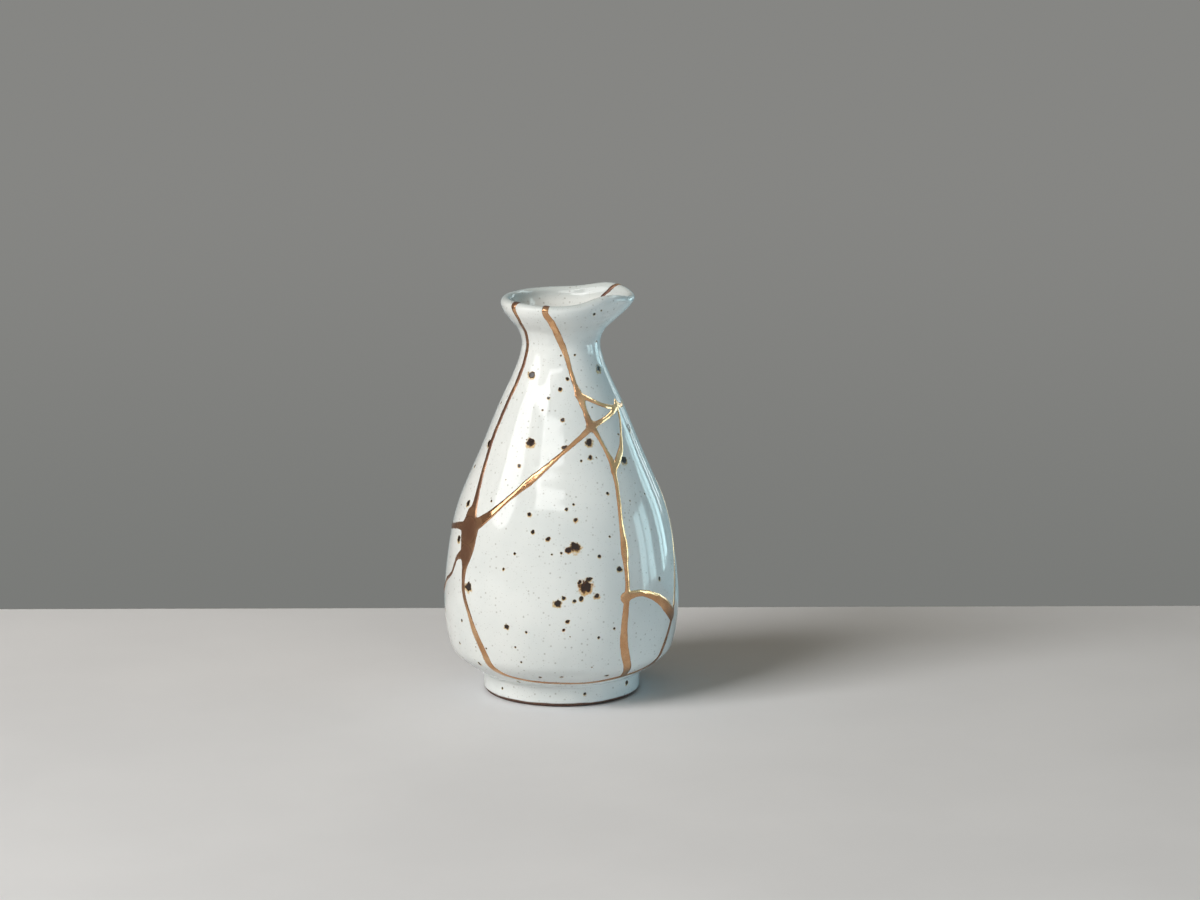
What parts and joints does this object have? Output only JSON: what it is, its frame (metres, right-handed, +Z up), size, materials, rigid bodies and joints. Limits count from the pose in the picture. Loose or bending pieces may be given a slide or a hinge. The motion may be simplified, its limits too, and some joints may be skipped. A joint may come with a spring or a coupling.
{
  "type": "kintsugi vase",
  "caption": "Hollow glazed stoneware bottle vase with a pinched pouring lip and a turned foot ring, its breaks mended with raised lacquer-and-gold seams.",
  "frame": {"origin": "on the vase's axis, at the underside of the foot ring, where it meets the table", "axes": "+Z up along the vase's axis, +X towards the pouring lip, -Y towards the side with the star-shaped mend that the picture shows"},
  "size_m": [0.0759, 0.0755, 0.1308],
  "materials": {
    "glazed_stoneware": "glossy white glaze with iron specks over stoneware, unglazed brown under the foot",
    "gold_lacquer": "burnished gold powder on brown lacquer"
  },
  "bodies": {
    "root": {"vase": "glazed_stoneware", "gold_seams": "gold_lacquer"}
  },
  "joints": []
}
